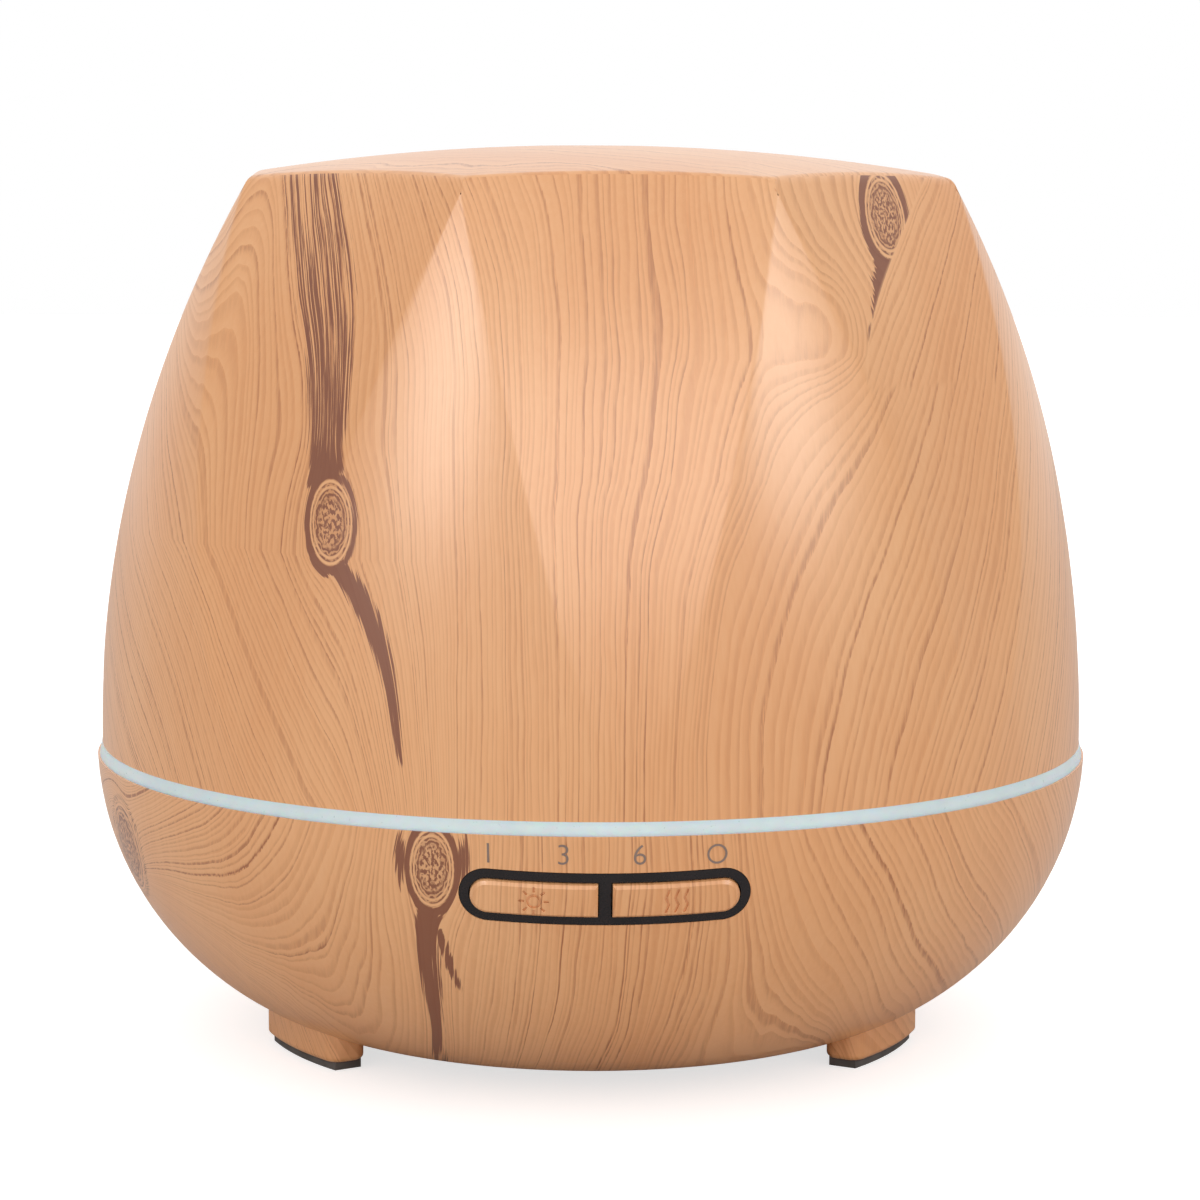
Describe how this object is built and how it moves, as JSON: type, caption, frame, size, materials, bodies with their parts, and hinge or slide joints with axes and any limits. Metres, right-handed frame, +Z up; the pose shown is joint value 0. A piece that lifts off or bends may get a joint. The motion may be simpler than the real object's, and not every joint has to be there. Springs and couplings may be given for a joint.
{
  "type": "essential oil diffuser",
  "caption": "Ultrasonic essential oil diffuser: round wood-look base with light band and push buttons, under a lift-off faceted cover with a mist outlet in its domed top.",
  "frame": {"origin": "on the standing surface, under the middle of the object", "axes": "+Z up, -Y towards the front with the buttons, +X to the right seen from the front"},
  "size_m": [0.1688, 0.1688, 0.1503],
  "materials": {
    "black_plastic": "fine texture",
    "capacitor_sleeve": "printed sleeve",
    "circuit_board": "green solder mask",
    "coil_ferrite": "ferrite drum",
    "disc_metal": "lapped",
    "foot_rubber": "matte",
    "heat_sink_metal": "extruded",
    "light_emitter": "white package with yellow phosphor",
    "magnet": "dark ferrite",
    "plate_steel": "plated",
    "screw_steel": "zinc plated",
    "seal_rubber": "matte silicone and foam",
    "smoked_plastic": "smoked, polished",
    "switch_white": "moulded nylon",
    "translucent_white": "milky translucent, satin",
    "white_plastic": "satin",
    "wood_print": "satin printed wood-grain film"
  },
  "bodies": {
    "base": {"base_shell": "wood_print", "board_screws": "screw_steel", "board_sockets": "switch_white", "button_bezel": "smoked_plastic", "capacitors": "capacitor_sleeve", "case_screws": "screw_steel", "clamp_screws": "screw_steel", "controller_chip": "black_plastic", "disc_clamp": "plate_steel", "disc_seal": "seal_rubber", "drive_coil": "coil_ferrite", "drive_transistor": "black_plastic", "fan_frame": "black_plastic", "fan_gasket": "seal_rubber", "fan_screws": "screw_steel", "float_cap": "white_plastic", "foot_pad_1": "foot_rubber", "foot_pad_2": "foot_rubber", "foot_pad_3": "foot_rubber", "heat_sink": "heat_sink_metal", "jack_pin": "plate_steel", "key_board": "circuit_board", "key_screws": "screw_steel", "key_switches": "black_plastic", "level_sensor": "black_plastic", "light_boards": "circuit_board", "light_screws": "screw_steel", "lights": "light_emitter", "main_board": "circuit_board", "power_jack": "black_plastic", "ultrasonic_disc": "disc_metal", "water_tank": "translucent_white"},
    "cover": {"upper_cover": "wood_print", "mist_outlet": "white_plastic", "splash_guard": "translucent_white", "guard_screws": "screw_steel"},
    "light_key": {"light_button": "wood_print", "light_plunger": "switch_white"},
    "mist_key": {"mist_button": "wood_print", "mist_plunger": "switch_white"},
    "rotor": {"fan_rotor": "black_plastic", "fan_shaft": "plate_steel"},
    "float": {"level_float": "white_plastic", "float_magnet": "magnet"}
  },
  "joints": [
    {"name": "cover_lift", "type": "slide", "parent": "base", "child": "cover", "axis": [0, 0, 1], "range_m": [0, 0.1]},
    {"name": "light_press", "type": "slide", "parent": "base", "child": "light_key", "axis": [0, 0.97, 0.243], "range_m": [0, 0.0008], "stiffness_N_per_m": 2000},
    {"name": "mist_press", "type": "slide", "parent": "base", "child": "mist_key", "axis": [0, 0.97, 0.243], "range_m": [0, 0.0008], "stiffness_N_per_m": 2000},
    {"name": "fan_spin", "type": "hinge", "parent": "base", "child": "rotor", "pos_m": [0, 0.031, 0.012], "axis": [0, 0, 1], "continuous": true},
    {"name": "float_rise", "type": "slide", "parent": "base", "child": "float", "axis": [0, 0, 1], "range_m": [0, 0.008]}
  ]
}
